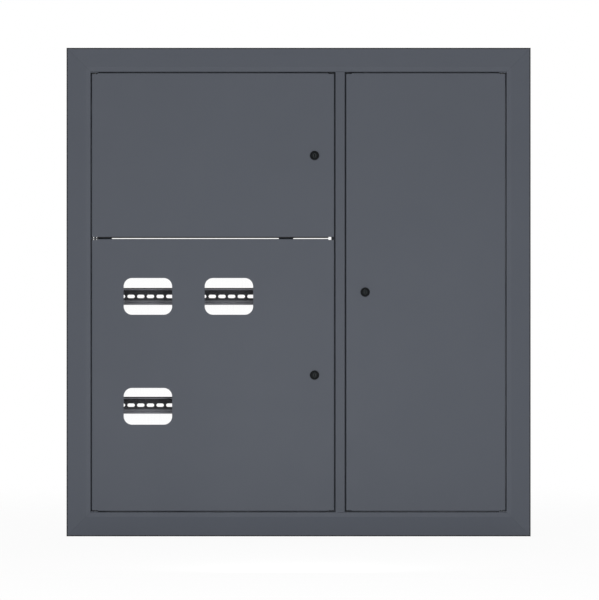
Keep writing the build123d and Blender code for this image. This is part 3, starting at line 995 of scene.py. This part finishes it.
# %% Plug and keyway
plug_radius = 5.72 * MM
plug_face = head_front + 0.5 * MM
guide_radius = 5.0 * MM
guide_height = 1.0 * MM
guide_share = 0.56
guide_round = 0.3 * MM
key_length = 8 * MM
key_width = 2 * MM
key_depth = 16 * MM
square_side = 7.6 * MM
square_length = 2.8 * MM
square_round = 0.5 * MM
square_middle = cam_front + 1.3 * MM
plug = turned(
    "lock_plug",
    [
        (0.0, plug_face),
        (5.3 * MM, plug_face),
        (plug_radius, head_front + 0.9 * MM),
        (plug_radius, cam_front),
        (0.0, cam_front),
    ],
)
guide = cylinder("key_guide", 48, guide_radius, guide_height, (0, plug_face, 0))
stretch(guide, everything, (guide_share, 1, 1))
bevel(guide, rim_before(head_front + near), guide_round, 2)
cut(plug, guide, "UNION")
keyway = punch("keyway", (0, 0, 0), key_length, key_width, key_depth)
turn(keyway, 90, "Y")
cut(plug, shift(keyway, (0, head_front, 0)))
square = block("plug_square", (square_side, square_length, square_side), (0, square_middle, 0))
bevel(square, lambda place, direction: abs(direction.y) > 0.9, square_round, 2)
cut(plug, square, "UNION")
print("plug", len(plug.data.polygons), "faces")

# %% [markdown]
# # Nut, cam and cam screw
# The nut is the turned hexagon again, only larger. The cam is stamped from three
# millimetre steel: the round-ended punch makes its outline too, and its rims are rolled
# over by the press, so they are bevelled.

# %% Cam
cam_width = 17 * MM
cam_length = 41 * MM + cam_width / 2
cam_thickness = 3 * MM
cam_middle = cam_front + cam_thickness / 2
cam_round = 0.35 * MM
hole_side = 7.7 * MM
cam = punch("lock_cam", (0, 0, 0), cam_length, cam_width, cam_thickness)
turn(cam, 90, "Y")
shift(cam, (0, cam_middle, cam_width / 2 - cam_length / 2))
pick(cam, "FACE", lambda place, direction: abs(direction.y) > 0.9)
bpy.ops.mesh.select_mode(type="EDGE")
bpy.ops.mesh.region_to_loop()
bpy.ops.mesh.bevel(offset=cam_round, segments=2, affect="EDGES")
leave()
cut(cam, block("square_hole", (hole_side, 8 * MM, hole_side), (0, cam_middle, 0)))
print("cam", len(cam.data.polygons), "faces")

# %% Nut and cam screw
nut_flats = 22 * MM
nut_height = 4 * MM
nut_chamfer = 1.1 * MM
nut_bore = 8.02 * MM
lock_nut = hexagon("lock_nut", nut_flats, nut_height, nut_chamfer, nut_bore)
shift(lock_nut, (0, door_inside + nut_height, 0))
cam_screw_flats = 7 * MM
screw_height = 2.8 * MM
cam_screw = hexagon("lock_cam_screw", cam_screw_flats, screw_height, head_chamfer)
shift(cam_screw, (0, cam_front + cam_thickness + screw_height, 0))
print("lock nut", len(lock_nut.data.polygons), "faces")

# %% [markdown]
# # Black lock finishes
# The housing is die-cast zinc under a thin black coat, far darker than the doors. The rim
# of the head is rubbed by sleeves and bags. The plug is blackened steel, and the key has
# polished the guide round the keyway to a dark grey.

# %% Two blacks
black = (0.003, 0.004, 0.005, 1)
black_rubbed = (0.016, 0.017, 0.018, 1)
plug_dark = (0.006, 0.008, 0.009, 1)
plug_rubbed = (0.034, 0.039, 0.042, 1)


def lock_black(centre):
    def build(net):
        x, y, z = net.axes(net.place())
        dx, dz = x - centre[0], z - centre[1]
        radius = (dx * dx + dz * dz).root()
        spots = net.noise(700.0, 3.0)
        rim = radius.step(8.4 * MM, 9.3 * MM) * radius.step(9.9 * MM, head_radius) * spots
        return {
            "Base Color": net.mix(0.5 * rim, black, black_rubbed),
            "Roughness": 0.42 + 0.12 * spots - 0.08 * rim,
            "Specular IOR Level": 0.09,
            "Normal": net.bump(spots, 0.02 * MM, 0.4),
        }

    return finish("lock_black", build)


def plug_black(net):
    x, y, z = net.axes(net.place())
    rings = net.noise(1500.0, 2.0, net.stretched((1.0, 1.0, 0.1)))
    rub_and_light = y.step(-13.6 * MM, -13.95 * MM) * (0.5 + 0.5 * net.noise(400.0, 3.0))
    return {
        "Base Color": net.mix(rub_and_light, plug_dark, plug_rubbed),
        "Roughness": 0.40 + 0.12 * rings - 0.05 * rub_and_light,
        "Specular IOR Level": 0.12,
        "Normal": net.bump(rings, 0.01 * MM, 0.4),
    }


# %% Fit the three locks
lock_parts = {
    "housing": (housing, "door", "lock_black"),
    "nut": (lock_nut, "door", "zinc_steel"),
    "plug": (plug, "lock", "lock_plug"),
    "cam": (cam, "lock", "zinc_steel"),
    "cam_screw": (cam_screw, "lock", "zinc_steel"),
}
finishes = {"lock_plug": finish("plug_black", plug_black), "zinc_steel": part_zinc}
for name, (x, z) in lock_places.items():
    finishes["lock_black"] = lock_black((x, z))
    for part, (model, body, slot) in lock_parts.items():
        piece = copy_of(model, f"{name}_lock_{part}_made", (x, 0, z))
        fit(piece, f"{name}_{body}", f"{name}_lock_{part}", finishes[slot])
for model, body, slot in lock_parts.values():
    bpy.data.objects.remove(model)
print("fitted", len(lock_places), "locks of", len(lock_parts), "pieces")

# %% [markdown]
# # Last look
# Every node either shows with its own finish or is replaced by a better piece. The box of
# the dressed board is measured once more at the end.

# %% Sizes and the end
shown = [(name, piece) for name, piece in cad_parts.items() if not piece.hide_render]
unfinished = [name for name, piece in shown if not piece.data.materials[0].use_nodes]
print("nodes without a finish", unfinished)
low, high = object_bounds()
